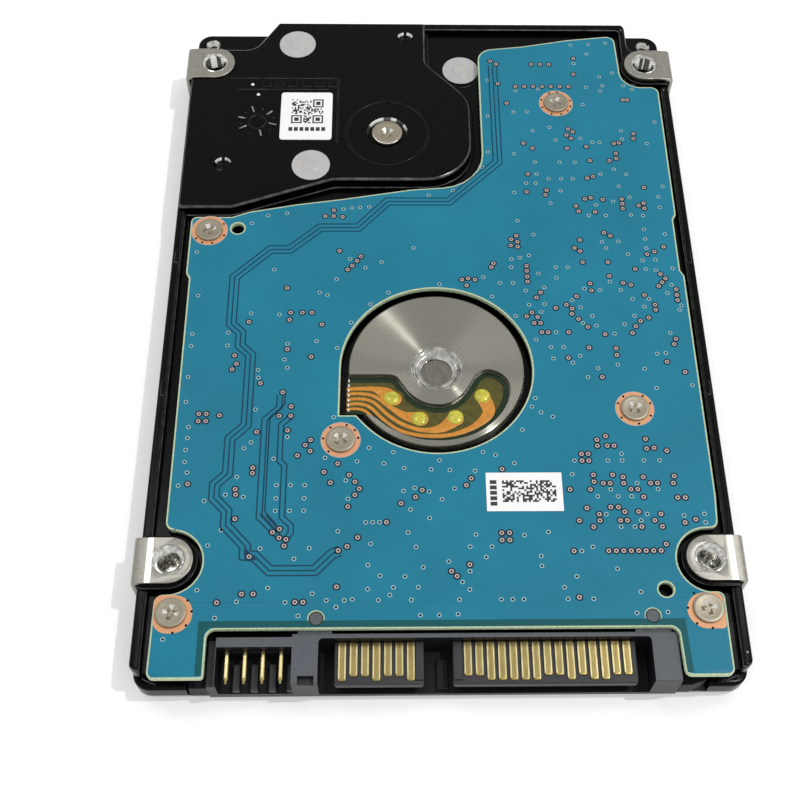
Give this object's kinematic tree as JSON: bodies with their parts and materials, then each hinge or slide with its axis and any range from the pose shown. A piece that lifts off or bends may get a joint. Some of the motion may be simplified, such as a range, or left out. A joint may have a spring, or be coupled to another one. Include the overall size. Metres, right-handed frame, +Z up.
{
  "type": "hard disk drive",
  "caption": "Slim hard disk drive with an exposed circuit board, serial data and power connector, mounting clips, and a disk and swinging head arm inside.",
  "frame": {"origin": "under the middle of the drive, on the cover's outer face", "axes": "+X to the right with the connector towards the viewer, +Y to the far end, +Z up out of the circuit board"},
  "size_m": [0.0698, 0.1, 0.007],
  "materials": {
    "black_casting": "semi-gloss black",
    "cover_steel": "satin",
    "black_rubber": "matt",
    "clip_steel": "satin",
    "solder_mask": "satin blue-green",
    "chip_black": "moulded matt",
    "screw_nickel": "nickel plated",
    "label_white": "printed film",
    "seal_grey": "satin film",
    "connector_plastic": "moulded charcoal",
    "gold_contact": "gold plated",
    "turned_aluminium": "fine turned rings",
    "flex_film": "dark film over copper traces",
    "motor_steel": "machined",
    "disk_surface": "polished",
    "arm_aluminium": "machined",
    "coil_copper": "enamelled wire",
    "magnet_nickel": "plated",
    "ramp_plastic": "natural polymer",
    "filter_felt": "white felt",
    "slider_ceramic": "polished dark ceramic"
  },
  "bodies": {
    "chassis": {"base_deck": "black_casting", "top_cover": "cover_steel", "cover_gasket": "black_rubber", "bracket_front_left": "clip_steel", "bracket_front_right": "clip_steel", "bracket_rear_left": "clip_steel", "bracket_rear_right": "clip_steel", "circuit_board": "solder_mask", "controller_chip": "chip_black", "memory_chip": "chip_black", "motor_driver_chip": "chip_black", "board_screw_1": "screw_nickel", "board_screw_2": "screw_nickel", "board_screw_3": "screw_nickel", "board_screw_4": "screw_nickel", "board_screw_5": "screw_nickel", "board_screw_6": "screw_nickel", "cover_screw_1": "screw_nickel", "cover_screw_2": "screw_nickel", "cover_screw_3": "screw_nickel", "cover_screw_4": "screw_nickel", "pivot_screw": "screw_nickel", "seal_sticker_1": "seal_grey", "seal_sticker_2": "seal_grey", "seal_sticker_3": "seal_grey", "base_label": "label_white", "board_label": "label_white", "connector_housing": "connector_plastic", "signal_contacts": "gold_contact", "power_contacts": "gold_contact", "jumper_pins": "gold_contact", "motor_base": "turned_aluminium", "motor_flex": "flex_film", "bearing_sleeve": "motor_steel", "stator_core": "motor_steel", "stator_windings": "coil_copper", "pivot_shaft": "motor_steel", "yoke_upper": "motor_steel", "yoke_lower": "motor_steel", "coil_magnet": "magnet_nickel", "crash_stop_outer": "black_rubber", "crash_stop_inner": "black_rubber", "load_ramp": "ramp_plastic", "flex_circuit": "flex_film", "flex_bracket": "arm_aluminium", "head_connector": "chip_black", "recirculation_filter": "filter_felt"},
    "spindle_rotor": {"spindle_hub": "arm_aluminium", "rotor_magnet": "magnet_nickel", "spindle_shaft": "motor_steel", "platter": "disk_surface", "platter_clamp": "arm_aluminium", "clamp_screw": "motor_steel"},
    "actuator": {"actuator_arm": "arm_aluminium", "voice_coil": "coil_copper", "pivot_bearing": "motor_steel", "suspension_lower": "clip_steel", "suspension_upper": "clip_steel", "head_slider_lower": "slider_ceramic", "head_slider_upper": "slider_ceramic"}
  },
  "joints": [
    {"name": "spindle_spin", "type": "hinge", "parent": "chassis", "child": "spindle_rotor", "pos_m": [0, -0.0103, 0.003], "axis": [0, 0, 1], "continuous": true},
    {"name": "actuator_swing", "type": "hinge", "parent": "chassis", "child": "actuator", "pos_m": [-0.0062, 0.0278, 0.003], "axis": [0, 0, 1], "range_deg": [-35, 0]}
  ]
}
